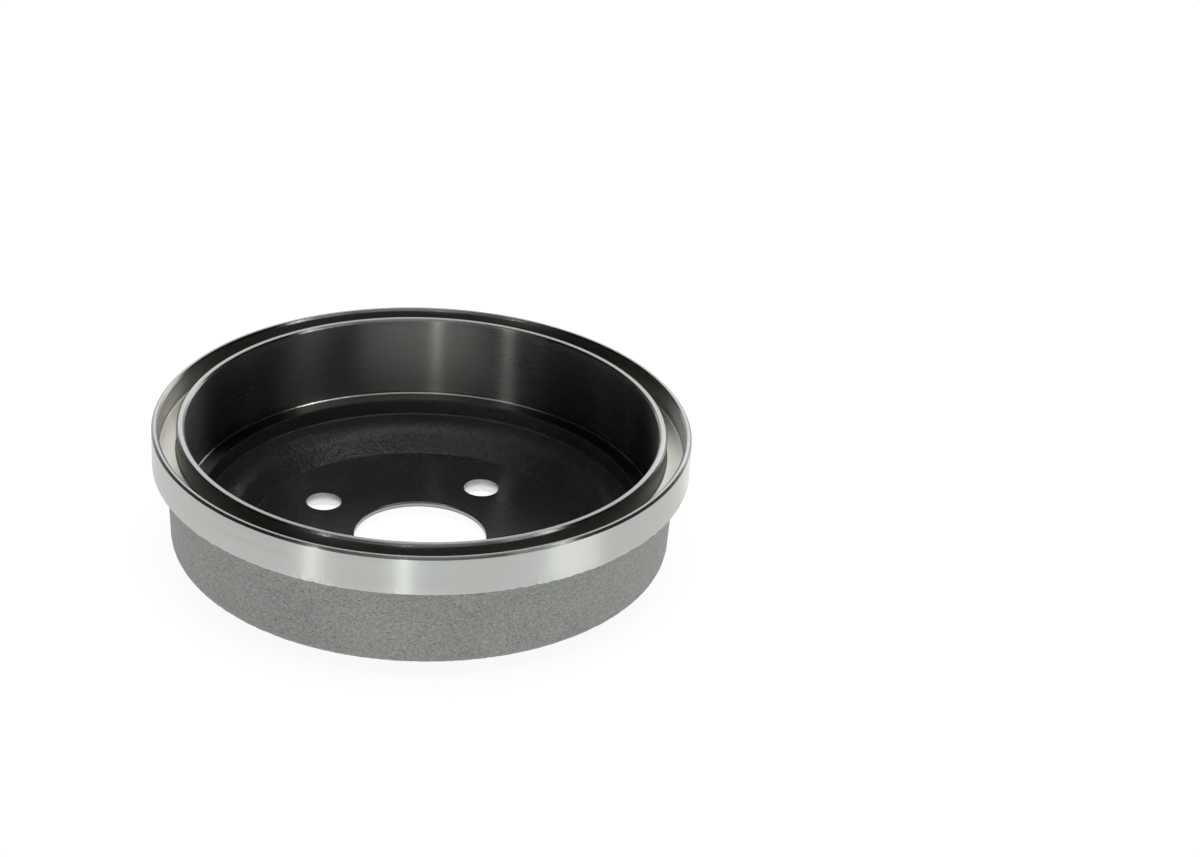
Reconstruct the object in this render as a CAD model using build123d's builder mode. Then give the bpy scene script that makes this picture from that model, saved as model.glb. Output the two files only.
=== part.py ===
from build123d import *
import math
import os

# One-piece cast iron brake drum, turned where it works and left as cast elsewhere.
# Sizes are in millimetres. The origin is the centre of the wheel face, and +Z runs
# along the axis of rotation to the open side, so the drum stands on its wheel face.

# Heights and depths
web_thickness = 6.0
web_depth = 54.0  # open edge down to the inner face of the web
shoulder_depth = 44.0  # open edge down to the cast shoulder round the web
friction_depth = 37.2  # open edge down to the ledge where the boring tool stops
band_height = 16.7  # turned band round the open edge
groove_depth = 10.5
foot_level = 6.4  # foot of the outer wall, above the wheel face
wheel_face_step = 3.2  # how far the wheel face stands out from the cast iron round it

# Radii of the working surfaces
friction_radius = 100.0
bore_radius = 28.5
wheel_face_radius = 80.0

# Radial widths at the open edge, from the inside out
inner_lip_width = 3.5
groove_width = 7.4
outer_lip_width = 2.9

# Walls and steps
ledge_width = 6.8
shoulder_width = 10.9
body_wall = 7.8  # cast wall behind the friction surface, just under the band
body_draft = 3.0  # degrees, from the pattern, over the outside of the cup
band_slope = 20.0  # degrees from level, on the underside of the band, which is left as cast
recess_draft = 6.0  # degrees, on the cast wall under the ledge
shoulder_slope = 51.0  # degrees from level, from the shoulder down to the web
step_slope = 45.0  # degrees from level, round the wheel face

# Land of the centre bore and the relief behind it on the wheel side
bore_land = 2.5
relief_radius = 35.0

# Wheel bolts and the hole for the screw that keeps the drum on the hub
bolt_circle_radius = 50.0
bolt_hole_radius = 7.7
bolt_count = 4
locating_hole_radius = 5.5

# Edge breaks and corner radii
friction_chamfer = 0.8
lip_chamfer = 0.9
foot_chamfer = 0.5  # left by the boring tool where the friction surface meets its ledge
hole_chamfer = 0.4
body_corner_radius = 5.0
shoulder_crown_radius = 10.0
web_corner_radius = 2.0

# Levels above the wheel face
overall_height = web_depth + web_thickness
shoulder_level = overall_height - shoulder_depth
ledge_level = overall_height - friction_depth
band_level = overall_height - band_height
groove_level = overall_height - groove_depth
bore_land_level = web_thickness - bore_land

# Radii of the lips, the groove and the band
groove_inner_radius = friction_radius + inner_lip_width
groove_outer_radius = groove_inner_radius + groove_width
band_radius = groove_outer_radius + outer_lip_width

# Radii of the cast walls, set back by their draft or their slope
body_top_radius = friction_radius + body_wall
band_root_level = band_level - (band_radius - body_top_radius) * math.tan(math.radians(band_slope))
body_drop = band_root_level - foot_level
body_foot_radius = body_top_radius - body_drop * math.tan(math.radians(body_draft))
step_run = wheel_face_step / math.tan(math.radians(step_slope))
ledge_inner_radius = friction_radius - ledge_width
recess_drop = ledge_level - shoulder_level
recess_foot_radius = ledge_inner_radius - recess_drop * math.tan(math.radians(recess_draft))
shoulder_drop = shoulder_level - web_thickness
shoulder_run = shoulder_drop / math.tan(math.radians(shoulder_slope))
shoulder_edge_radius = recess_foot_radius - shoulder_width
web_flat_radius = shoulder_edge_radius - shoulder_run

# Corners of the section as (radius, height), named so that each is rounded by its name
wheel_face_rim = (wheel_face_radius, 0)
step_top = (wheel_face_radius + step_run, wheel_face_step)
body_foot = (body_foot_radius, foot_level)
band_root = (body_top_radius, band_root_level)
band_foot = (band_radius, band_level)
band_top = (band_radius, overall_height)
friction_top = (friction_radius, overall_height)
friction_foot = (friction_radius, ledge_level)
ledge_edge = (ledge_inner_radius, ledge_level)
recess_foot = (recess_foot_radius, shoulder_level)
shoulder_crown = (shoulder_edge_radius, shoulder_level)
web_corner = (web_flat_radius, web_thickness)
bore_top = (bore_radius, web_thickness)
bore_foot = (bore_radius, bore_land_level)
relief_top = (relief_radius, bore_land_level)
relief_rim = (relief_radius, 0)


def corner(*places):
    """Return the vertices of the current sketch that stand at the given places."""
    found = [vertices().sort_by_distance((*place, 0))[0] for place in places]
    return ShapeList(found)


def rims(radius, level):
    """Return the round edges of the current part with this radius at this level."""
    round_edges = edges().filter_by(GeomType.CIRCLE).filter_by_position(Axis.Z, level, level)
    return round_edges.filter_by(lambda edge: math.isclose(edge.radius, radius, abs_tol=0.01))


with BuildPart() as brake_drum:
    # Section of the cup: wheel face, outer wall, band, open edge, friction surface, web
    with BuildSketch(Plane.XZ):
        with BuildLine():
            Polyline(
                relief_rim,
                wheel_face_rim,
                step_top,
                body_foot,
                band_root,
                band_foot,
                band_top,
                friction_top,
                friction_foot,
                ledge_edge,
                recess_foot,
                shoulder_crown,
                web_corner,
                bore_top,
                bore_foot,
                relief_top,
                close=True,
            )
        make_face()

        # Turned corners
        chamfer(corner(friction_top), friction_chamfer)
        chamfer(corner(band_top), lip_chamfer)
        chamfer(corner(friction_foot), foot_chamfer)

        # Cast corners
        fillet(corner(body_foot), body_corner_radius)
        fillet(corner(shoulder_crown), shoulder_crown_radius)
        fillet(corner(web_corner), web_corner_radius)
    revolve(axis=Axis.Z)

    # Groove between the two lips, which the rim of the backing plate runs in
    with BuildSketch(Plane.XZ):
        with Locations((groove_inner_radius, groove_level)):
            Rectangle(groove_width, groove_depth, align=(Align.MIN, Align.MIN))
    revolve(axis=Axis.Z, mode=Mode.SUBTRACT)
    chamfer(
        rims(groove_inner_radius, overall_height) + rims(groove_outer_radius, overall_height),
        lip_chamfer,
    )

    # Wheel bolt holes, the first on +X
    with Locations(Plane.XY.offset(web_thickness)):
        with PolarLocations(bolt_circle_radius, bolt_count):
            Hole(bolt_hole_radius, depth=web_thickness)
    chamfer(rims(bolt_hole_radius, 0), hole_chamfer)

    # Locating screw hole, halfway between the first two wheel bolts
    with Locations(Plane.XY.offset(web_thickness)):
        with PolarLocations(bolt_circle_radius, 1, start_angle=180 / bolt_count):
            Hole(locating_hole_radius, depth=web_thickness)
    chamfer(rims(locating_hole_radius, 0), hole_chamfer)

brake_drum.part.label = "brake_drum"

os.makedirs("parts", exist_ok=True)
export_step(brake_drum.part, "parts/brake_drum.step")
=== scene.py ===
"""A one-piece cast iron brake drum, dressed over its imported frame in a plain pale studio.

The drum stands on its wheel face with its open side up. Its turned surfaces and its cast
skins are four closed rings and a plate, so that each carries its own relief and finishes.
The drum's sizes are in millimetres, and the studio's in metres.
"""

import logging
import math
from dataclasses import dataclass, field
from enum import Enum

import bpy
import numpy as np
from mathutils import Matrix, Vector


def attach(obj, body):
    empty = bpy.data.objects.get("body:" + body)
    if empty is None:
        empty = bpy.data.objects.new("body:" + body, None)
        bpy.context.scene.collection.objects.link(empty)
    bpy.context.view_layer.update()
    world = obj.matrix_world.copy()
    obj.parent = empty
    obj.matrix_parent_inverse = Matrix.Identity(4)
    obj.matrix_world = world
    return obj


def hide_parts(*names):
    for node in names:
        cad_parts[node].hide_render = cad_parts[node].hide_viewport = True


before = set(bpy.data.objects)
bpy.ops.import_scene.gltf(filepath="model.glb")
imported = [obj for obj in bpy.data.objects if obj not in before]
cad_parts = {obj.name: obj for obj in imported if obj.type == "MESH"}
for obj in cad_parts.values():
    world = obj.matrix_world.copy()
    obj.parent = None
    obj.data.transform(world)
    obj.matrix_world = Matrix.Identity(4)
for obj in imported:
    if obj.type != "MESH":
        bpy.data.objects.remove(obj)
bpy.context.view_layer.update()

logging.basicConfig(level=logging.INFO, format="%(name)s: %(message)s")
log = logging.getLogger("brake_drum")

MILLIMETRE = 0.001
NODE = "brake_drum"
BODY = "root"
FULL_TURN = 2.0 * math.pi
FACING = 118.2  # the camera's bearing round the drum, in degrees from +X


class Zone(Enum):
    """The finishes that the drum's surfaces carry, from the lathe or from the foundry."""

    # Several turned zones are one iron in darker and lighter copies: CHAMFER, FRICTION, LEDGE and
    # GROOVE carry painted shade, and GROOVE_FLOOR and HOLE carry painted light.
    BAND = "turned_band"
    LIP = "turned_lip"
    CHAMFER = "turned_chamfer"
    FRICTION = "bored_friction_wall"
    LEDGE = "bored_ledge"
    GROOVE = "cut_groove"
    GROOVE_FLOOR = "cut_groove_floor"
    SKIN = "cast_skin"
    COATING = "black_coated_cast"
    BORE = "bare_bore"
    HOLE = "drilled_hole"
    FACE = "turned_wheel_face"


# --------------------------------------------------------------------------- noise


@dataclass(frozen=True)
class GrainNoise:
    """Seeded noise in space, so that neighbouring pieces share one relief.

    Attributes:
        seed: Number that fixes the tables, so that each run gives the same relief.
        rows: Rows of each table, a power of two.
        primes: Large primes of the hash, one for each axis and one for the last mix.
        shifts: Bits that the hash is shifted by, before the last mix and after it.
        smooth_start: Cells from the origin to where the smooth noise is read.
        lump_start: Cells from the origin to where the lumps are read.
    """

    seed: int = 11
    rows: int = 4096
    primes: tuple[int, int, int, int] = (73856093, 19349663, 83492791, 1274126177)
    shifts: tuple[int, int] = (13, 7)
    smooth_start: float = 137.0
    lump_start: float = 71.0

    def _tables(self) -> tuple[np.ndarray, np.ndarray]:
        """Draw the tables from the seed.

        Returns:
            The table of unit gradients and the table of random points, (rows, 3) each.
        """
        source = np.random.default_rng(self.seed)
        gradients = source.normal(size=(self.rows, 3))
        gradients /= np.linalg.norm(gradients, axis=1, keepdims=True)
        return gradients, source.random((self.rows, 3))

    def _pick(self, cells: np.ndarray) -> np.ndarray:
        """Hash whole-number cells to table rows.

        The coordinates times their primes are joined by exclusive or, then folded onto their
        upper bits, multiplied by the last prime and cut to the size of a table.

        Args:
            cells: Whole-number coordinates, (n, 3).

        Returns:
            Row numbers, (n,).
        """
        mixed = np.bitwise_xor.reduce(cells * self.primes[:3], axis=1)
        mixed ^= mixed >> self.shifts[0]
        return (mixed * self.primes[3] >> self.shifts[1]) & (self.rows - 1)

    def smooth(self, places: np.ndarray, cell: float) -> np.ndarray:
        """Return gradient noise, about -0.7 to 0.7.

        Each cell corner has a random slope. The value is the eight slopes' heights at the
        place, blended by the quintic 6t^5 - 15t^4 + 10t^3 along each axis.

        Args:
            places: Points in millimetres, (n, 3).
            cell: Size of a cell in millimetres.

        Returns:
            One value for each point.
        """
        gradients, _ = self._tables()
        scaled = places / cell + self.smooth_start
        base = np.floor(scaled).astype(np.int64)
        part = scaled - base
        blend = part**3 * (part * (part * 6.0 - 15.0) + 10.0)
        total = np.zeros(len(places))
        for corner in np.ndindex(2, 2, 2):
            step = np.array(corner)
            slope = gradients[self._pick(base + step)]
            height = np.einsum("ij,ij->i", slope, part - step)
            weight = np.prod(np.where(step == 1, blend, 1.0 - blend), axis=1)
            total += height * weight
        return total

    def lumps(self, places: np.ndarray, cell: float) -> np.ndarray:
        """Return rounded lumps, 1 at a lump's middle and 0 between lumps.

        Each cell holds one random point. The value is 1 minus the distance to the nearest
        point, in cells, and not below 0.

        Args:
            places: Points in millimetres, (n, 3).
            cell: Size of a cell in millimetres.

        Returns:
            One value for each point.
        """
        _, points = self._tables()
        scaled = places / cell + self.lump_start
        base = np.floor(scaled).astype(np.int64)
        nearest = np.full(len(places), np.inf)
        for offset in np.ndindex(3, 3, 3):
            near = base + np.array(offset) - 1
            gap = near + points[self._pick(near)] - scaled
            nearest = np.minimum(nearest, np.einsum("ij,ij->i", gap, gap))
        return np.clip(1.0 - np.sqrt(nearest), 0.0, 1.0)


NOISE = GrainNoise()


@dataclass(frozen=True)
class SandRelief:
    """The relief of a sand-cast skin: lumps of sand grain and a ripple, on a slow swell.

    Attributes:
        coarse: Size of the coarse lumps in millimetres, and their share.
        fine: Size of the fine lumps in millimetres, and their share.
        swell: Size of the swell in millimetres, and its share.
        ripple: Size of the ripple in millimetres, and its share.
        lump_mean: Mean of the lumps, which is taken off.
        fine_start: How far off the fine lumps are read, in millimetres.
        ripple_start: How far off the ripple is read, in millimetres.
    """

    coarse: tuple[float, float] = (1.7, 0.95)
    fine: tuple[float, float] = (1.0, 0.5)
    swell: tuple[float, float] = (7.0, 0.35)
    ripple: tuple[float, float] = (2.6, 0.8)
    lump_mean: float = 0.42
    fine_start: float = 31.0
    ripple_start: float = 53.0

    def height(self, places: np.ndarray, size: float = 1.0) -> np.ndarray:
        """Return the height of the skin, about -1 to 1: the sum of share x noise.

        Args:
            places: Points in millimetres, (n, 3).
            size: Scale of the grain, where 1 is the outside of the cup.

        Returns:
            One height for each point, to be multiplied by a depth.
        """
        coarse = NOISE.lumps(places, self.coarse[0] * size) - self.lump_mean
        fine = NOISE.lumps(places + self.fine_start, self.fine[0] * size) - self.lump_mean
        swell = NOISE.smooth(places, self.swell[0] * size)
        ripple = NOISE.smooth(places + self.ripple_start, self.ripple[0] * size)
        lumps = self.coarse[1] * coarse + self.fine[1] * fine
        return lumps + self.swell[1] * swell + self.ripple[1] * ripple


@dataclass(frozen=True)
class StrayIron:
    """Stray lumps of iron along the foot of a cast wall.

    Attributes:
        lump: Size of a lump, in millimetres.
        stretch: Size of the stretches that have more lumps or fewer, in millimetres.
        stretch_share: Weight of the stretches against the lumps.
        least: Level of the noise where a lump starts.
        most: Level above the least where a lump's top is flat.
    """

    lump: float = 2.4
    stretch: float = 11.0
    stretch_share: float = 0.7
    least: float = 0.42
    most: float = 0.8

    def height(self, places: np.ndarray) -> np.ndarray:
        """Return how far lumps + share x stretches stand over the least, up to the most.

        Args:
            places: Points in millimetres, (n, 3).

        Returns:
            One height for each point, to be multiplied by a lump's height.
        """
        stretches = NOISE.smooth(places, self.stretch)
        level = NOISE.smooth(places, self.lump) + self.stretch_share * stretches
        return np.clip(level - self.least, 0.0, self.most)


@dataclass(frozen=True)
class RaggedEdge:
    """How an edge wanders where a turned face runs out on cast iron.

    Attributes:
        radius: Radius of the circle that the noise is read on, in millimetres.
        notch: Size of the notches, in millimetres.
        wave: Size of the waves, in millimetres.
        wave_share: Weight of the waves against the notches.
        wave_start: How far off the waves are read, in millimetres.
        patch: Size of the patches that wander more or less, in millimetres.
        patch_start: How far off the patches are read, in millimetres.
        strength: Mean strength of a patch, and how much its noise adds.
        limits: Least and greatest strength.
    """

    radius: float = 113.0
    notch: float = 1.5
    wave: float = 3.2
    wave_share: float = 0.8
    wave_start: float = 5.0
    patch: float = 34.0
    patch_start: float = 19.0
    strength: tuple[float, float] = (0.8, 1.3)
    limits: tuple[float, float] = (0.4, 1.1)

    def wander(self, angle: np.ndarray) -> np.ndarray:
        """Return (notches + share x waves) x strength.

        Args:
            angle: Angles round the axis, in radians.

        Returns:
            One value for each angle, to be multiplied by a distance.
        """
        edge = polar(np.full(len(angle), self.radius), angle, np.zeros(len(angle)))
        waves = NOISE.smooth(edge + self.wave_start, self.wave)
        mean, more = self.strength
        patches = np.clip(
            mean + more * NOISE.smooth(edge + self.patch_start, self.patch), *self.limits
        )
        return (NOISE.smooth(edge, self.notch) + self.wave_share * waves) * patches


SAND = SandRelief()
STRAY = StrayIron()
RAGGED = RaggedEdge()


# --------------------------------------------------------------------------- section


@dataclass(frozen=True)
class DrumSizes:
    """Sizes of the drum's section in millimetres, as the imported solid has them."""

    # Heights above the wheel face
    height: float = 60.0
    band_foot: float = 43.3
    band_root: float = 41.134
    groove_floor: float = 49.5
    ledge: float = 22.8
    shoulder: float = 16.0
    web: float = 6.0
    bore_foot: float = 3.5
    wall_foot: float = 6.4
    step: float = 3.2

    # Radii
    friction: float = 100.0
    groove_inner: float = 103.5
    groove_outer: float = 110.9
    band: float = 113.76
    wall_top: float = 107.8
    wall_low: float = 105.98
    ledge_inner: float = 93.2
    recess_foot: float = 92.485
    shoulder_edge: float = 81.585
    web_edge: float = 73.487
    wheel_face: float = 80.0
    relief: float = 35.0
    bore: float = 28.5
    bolt_circle: float = 50.0
    bolt_hole: float = 7.7
    locating_hole: float = 5.5

    # Broken edges and rounded corners
    friction_chamfer: float = 0.8
    lip_chamfer: float = 0.9
    foot_chamfer: float = 0.5
    hole_chamfer: float = 0.4
    wall_corner: float = 5.0
    shoulder_corner: float = 10.0
    web_corner: float = 2.0

    bolts: int = 4


SIZES = DrumSizes()


@dataclass(frozen=True)
class Corner:
    """A corner of a closed walk round part of the section.

    Attributes:
        radius: Distance from the axis, in millimetres.
        height: Height above the wheel face, in millimetres.
        zone: Finish of the run that starts here.
        round: Radius of the corner, in millimetres.
        step: Longest distance between rows on the run that starts here, in millimetres.
        grain: Depth of the cast relief here, in millimetres.
        rag: How far a ragged edge wanders here, as (radius, height) in millimetres.
        lumps: Height of stray lumps of iron here, in millimetres.
        arc_rows: Rows on the rounded corner.
    """

    radius: float
    height: float
    zone: Zone
    round: float = 0.0
    step: float = 4.0
    grain: float = 0.0
    rag: tuple[float, float] = (0.0, 0.0)
    lumps: float = 0.0
    arc_rows: int = 3


@dataclass
class Walk:
    """A closed walk round part of the section, as rows of points.

    Attributes:
        places: (radius, height) of each row, in millimetres.
        extras: (grain, rag radius, rag height, lumps) of each row, in millimetres.
        zones: Finish of the strip from each row to the next.
    """

    places: np.ndarray
    extras: np.ndarray
    zones: list[Zone]

    @staticmethod
    def _arc(start: np.ndarray, heading: np.ndarray, turn: float, corner: Corner) -> np.ndarray:
        """Return the rows of a rounded corner: centre + arm cos(swing) + its normal sin(swing).

        Args:
            start: Where the arc starts.
            heading: Unit vector along the run before the corner.
            turn: Angle by which the walk turns, anticlockwise, in radians.
            corner: The corner.

        Returns:
            The (radius, height) of each row, without the arc's end.
        """
        centre = start + np.array((-heading[1], heading[0])) * math.copysign(corner.round, turn)
        swing = np.linspace(0.0, turn, corner.arc_rows + 1)[:-1, None]
        arm = start - centre
        across = np.array((-arm[1], arm[0]))
        return centre + arm * np.cos(swing) + across * np.sin(swing)

    @classmethod
    def through(cls, corners: list[Corner]) -> "Walk":
        """Build the walk from its corners, which run anticlockwise with radius to the right.

        A rounded corner is an arc that touches both runs: its ends stand back from the corner
        by radius x tan(half the turn). A run between corners is split evenly.

        Args:
            corners: The corners in order.

        Returns:
            The closed walk.
        """
        points = np.array([(c.radius, c.height) for c in corners])
        before = points - np.roll(points, 1, axis=0)
        after = np.roll(points, -1, axis=0) - points
        before /= np.linalg.norm(before, axis=1, keepdims=True)
        after /= np.linalg.norm(after, axis=1, keepdims=True)
        sine = before[:, 0] * after[:, 1] - before[:, 1] * after[:, 0]
        turn = np.arctan2(sine, np.sum(before * after, axis=1))
        back = np.array([c.round for c in corners]) * np.tan(np.abs(turn) / 2.0)
        values = np.array([(c.grain, *c.rag, c.lumps) for c in corners])
        rows, extras, zones = [], [], []
        for here, corner in enumerate(corners):
            if corner.round > 0.0:
                start = points[here] - before[here] * back[here]
                arc = cls._arc(start, before[here], turn[here], corner)
                rows.append(arc)
                extras.append(np.repeat(values[here][None], len(arc), axis=0))
                zones += [corner.zone] * len(arc)
            following = (here + 1) % len(corners)
            first = points[here] + after[here] * back[here]
            last = points[following] - after[here] * back[following]
            length = float(np.linalg.norm(last - first))
            share = np.linspace(0.0, 1.0, max(1, math.ceil(length / corner.step)) + 1)[:-1, None]
            rows.append(first + (last - first) * share)
            extras.append(values[here] + (values[following] - values[here]) * share)
            zones += [corner.zone] * len(share)
        return cls(np.concatenate(rows), np.concatenate(extras), zones)

    def normals(self) -> np.ndarray:
        """Return the walk's direction at each row, turned a quarter clockwise.

        Returns:
            The outward unit normals, (rows, 2).
        """
        ahead = np.roll(self.places, -1, axis=0) - np.roll(self.places, 1, axis=0)
        ahead /= np.linalg.norm(ahead, axis=1, keepdims=True)
        return np.stack((ahead[:, 1], -ahead[:, 0]), axis=1)

    def lengths(self) -> np.ndarray:
        """Return the distance walked at each row, with the whole way round as the last value."""
        gaps = np.linalg.norm(np.roll(self.places, -1, axis=0) - self.places, axis=1)
        return np.concatenate(([0.0], np.cumsum(gaps)))


# --------------------------------------------------------------------------- meshes


def polar(radius: np.ndarray, angle: np.ndarray, height: np.ndarray) -> np.ndarray:
    """Return points (radius cos angle, radius sin angle, height), in the shape (..., 3)."""
    return np.stack((radius * np.cos(angle), radius * np.sin(angle), height), axis=-1)


def link_to_scene(name: str, data: bpy.types.ID) -> bpy.types.Object:
    """Put a mesh, lamp or camera into a new object in the scene.

    Args:
        name: The object's name.
        data: The mesh, lamp or camera.

    Returns:
        The object.
    """
    made = bpy.data.objects.new(name, data)
    bpy.context.scene.collection.objects.link(made)
    return made


def make_mesh(
    name: str,
    points: np.ndarray,
    quads: np.ndarray,
    finishes: list[bpy.types.Material],
    finish_of: np.ndarray,
    corner_uv: np.ndarray,
) -> bpy.types.Object:
    """Put arrays into a mesh object at the origin.

    Args:
        name: The object's name.
        points: Points in millimetres, (n, 3).
        quads: Four point numbers for each face, (m, 4).
        finishes: The object's materials.
        finish_of: Number of each face's material, (m,).
        corner_uv: The (along, across) place of each face corner, (4m, 2).

    Returns:
        The new object, linked to the scene.
    """
    mesh = bpy.data.meshes.new(name)
    mesh.vertices.add(len(points))
    mesh.vertices.foreach_set("co", (points * MILLIMETRE).astype(np.float32).ravel())
    mesh.loops.add(quads.size)
    mesh.loops.foreach_set("vertex_index", quads.astype(np.int32).ravel())
    mesh.polygons.add(len(quads))
    mesh.polygons.foreach_set("loop_start", np.arange(0, quads.size, 4, dtype=np.int32))
    mesh.polygons.foreach_set("material_index", finish_of.astype(np.int32))
    mesh.update(calc_edges=True)
    mesh.polygons.foreach_set("use_smooth", np.ones(len(quads), dtype=bool))
    layer = mesh.uv_layers.new(name="way")
    layer.data.foreach_set("uv", corner_uv.astype(np.float32).ravel())
    for finish in finishes:
        mesh.materials.append(finish)
    mesh.validate()
    return link_to_scene(name, mesh)


def ring_points(walk: Walk, columns: int) -> np.ndarray:
    """Return a ring's points with their relief, column by column.

    A point is the row's place turned by the column's angle. It then moves along the row's
    normal by grain x relief + lumps x stray iron, and by rag x the wander of its edge.

    Args:
        walk: The closed walk.
        columns: Number of columns round the axis.

    Returns:
        Points in millimetres, (columns x rows, 3).
    """
    angle = np.arange(columns) * (FULL_TURN / columns)
    radius = np.broadcast_to(walk.places[:, 0], (columns, len(walk.places)))
    height = np.broadcast_to(walk.places[:, 1], radius.shape)
    grain, rag_radius, rag_height, lumps = (
        np.broadcast_to(walk.extras[:, k], radius.shape).ravel() for k in range(4)
    )
    plain = polar(radius, angle[:, None], height).reshape(-1, 3)
    lift = np.zeros(len(plain))
    rough, lumpy = grain > 0.0, lumps > 0.0
    lift[rough] = SAND.height(plain[rough]) * grain[rough]
    lift[lumpy] += STRAY.height(plain[lumpy]) * lumps[lumpy]
    lift = lift.reshape(radius.shape)
    normal = walk.normals()
    wander = RAGGED.wander(angle)[:, None]
    radius = radius + lift * normal[:, 0] + rag_radius.reshape(radius.shape) * wander
    height = height + lift * normal[:, 1] + rag_height.reshape(radius.shape) * wander
    return polar(radius, angle[:, None], height).reshape(-1, 3)


def revolve_walk(
    name: str, walk: Walk, columns: int, finishes: dict[Zone, bpy.types.Material]
) -> bpy.types.Object:
    """Carry a closed walk round the axis as a closed ring, with its relief.

    Args:
        name: The object's name.
        walk: The closed walk.
        columns: Number of columns round the axis.
        finishes: Material of each finish.

    Returns:
        The ring, closed both ways.
    """
    rows = len(walk.places)
    column, row = np.meshgrid(np.arange(columns), np.arange(rows), indexing="ij")
    next_column, next_row = (column + 1) % columns, (row + 1) % rows
    quads = np.stack(
        (
            column * rows + row,
            next_column * rows + row,
            next_column * rows + next_row,
            column * rows + next_row,
        ),
        axis=-1,
    ).reshape(-1, 4)
    way = walk.lengths() * MILLIMETRE
    along = np.stack((column, column + 1, column + 1, column), axis=-1) / columns
    across = np.stack((way[row], way[row], way[row + 1], way[row + 1]), axis=-1)
    corner_uv = np.stack((along, across), axis=-1).reshape(-1, 2)

    used = list(dict.fromkeys(walk.zones))
    finish_of = np.array([used.index(zone) for zone in walk.zones])[row].ravel()
    materials = [finishes[zone] for zone in used]
    points = ring_points(walk, columns)
    piece = make_mesh(name, points, quads, materials, finish_of, corner_uv)
    log.info("%s: %d columns, %d rows, %d faces", name, columns, rows, len(quads))
    return piece


# --------------------------------------------------------------------------- shader tools


class Shader:
    """A node tree being wired, with short calls for the nodes that the finishes share."""

    def __init__(self, tree: bpy.types.NodeTree) -> None:
        """Start wiring a tree.

        Args:
            tree: The material's, world's or group's tree.
        """
        self.tree = tree

    def node(self, kind: str, **settings: object) -> bpy.types.Node:
        """Add a node.

        Args:
            kind: Blender's name of the node type.
            settings: Properties to set on it.

        Returns:
            The node.
        """
        made = self.tree.nodes.new(kind)
        for key, value in settings.items():
            setattr(made, key, value)
        return made

    def link(self, source: object, target: bpy.types.NodeSocket) -> None:
        """Feed a socket from another socket, or set it to a plain value.

        Args:
            source: The other socket, or the value.
            target: The socket that is fed.
        """
        if isinstance(source, bpy.types.NodeSocket):
            self.tree.links.new(source, target)
        else:
            target.default_value = source

    def math(self, operation: str, *values: object, clamp: bool = False) -> bpy.types.NodeSocket:
        """Add a Math node.

        Args:
            operation: The node's operation.
            values: Its inputs, as sockets or numbers.
            clamp: Whether the result is held between 0 and 1.

        Returns:
            The result's socket.
        """
        made = self.node("ShaderNodeMath", operation=operation, use_clamp=clamp)
        for socket, value in zip(made.inputs, values):
            self.link(value, socket)
        return made.outputs[0]

    def blend(self, share: float, first: object, second: object) -> bpy.types.NodeSocket:
        """Return the socket of share x first + (1 - share) x second."""
        rest = self.math("MULTIPLY", second, 1.0 - share)
        return self.math("MULTIPLY_ADD", first, share, rest)

    def mix(self, share: object, first: object, second: object) -> bpy.types.NodeSocket:
        """Mix two colours: (1 - share) x first + share x second.

        Args:
            share: Share of the second colour.
            first: The first colour.
            second: The second colour.

        Returns:
            The colour's socket.
        """
        made = self.node("ShaderNodeMix", data_type="RGBA")
        self.link(share, made.inputs["Factor"])
        colour_a, colour_b = (socket for socket in made.inputs if socket.type == "RGBA")
        self.link(first, colour_a)
        self.link(second, colour_b)
        return next(socket for socket in made.outputs if socket.type == "RGBA")

    def spread(
        self,
        value: object,
        low: float,
        high: float,
        out_low: object = 0.0,
        out_high: object = 1.0,
    ) -> bpy.types.NodeSocket:
        """Map a value from one range to another, held at the ends.

        Args:
            value: The value's socket.
            low: Start of the range it comes from.
            high: End of the range it comes from.
            out_low: Result at the start.
            out_high: Result at the end.

        Returns:
            The result's socket.
        """
        made = self.node("ShaderNodeMapRange", clamp=True)
        for socket, item in zip(made.inputs, (value, low, high, out_low, out_high)):
            self.link(item, socket)
        return made.outputs[0]

    def noise(
        self, place: object, scale: object, detail: float = 2.0, rough: float = 0.5
    ) -> bpy.types.NodeSocket:
        """Add a Noise Texture.

        Args:
            place: Socket of the coordinates, in metres.
            scale: Cycles to the metre.
            detail: Octaves.
            rough: Strength of each octave against the one before.

        Returns:
            The value's socket.
        """
        made = self.node("ShaderNodeTexNoise", noise_dimensions="3D")
        self.link(place, made.inputs["Vector"])
        self.link(scale, made.inputs["Scale"])
        self.link(detail, made.inputs["Detail"])
        self.link(rough, made.inputs["Roughness"])
        return made.outputs["Fac"]

    def place(self) -> tuple[bpy.types.NodeSocket, list[bpy.types.NodeSocket]]:
        """Read the place on the object, in metres.

        Returns:
            The place's socket, and the sockets of its x, y and z.
        """
        whole = self.node("ShaderNodeTexCoord").outputs["Object"]
        parts = self.node("ShaderNodeSeparateXYZ")
        self.link(whole, parts.inputs[0])
        return whole, list(parts.outputs)

    def joined(self, *values: object) -> bpy.types.NodeSocket:
        """Join three numbers into a vector.

        Args:
            values: Its x, y and z, as sockets or numbers.

        Returns:
            The vector's socket.
        """
        made = self.node("ShaderNodeCombineXYZ")
        for socket, value in zip(made.inputs, values):
            self.link(value, socket)
        return made.outputs[0]

    def towards(self, place: object, direction: Vector) -> bpy.types.NodeSocket:
        """Take the dot product of a vector with a fixed direction.

        Args:
            place: The vector's socket.
            direction: The direction.

        Returns:
            The product's socket.
        """
        made = self.node("ShaderNodeVectorMath", operation="DOT_PRODUCT")
        self.link(place, made.inputs[0])
        self.link(tuple(direction), made.inputs[1])
        return made.outputs["Value"]


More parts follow.
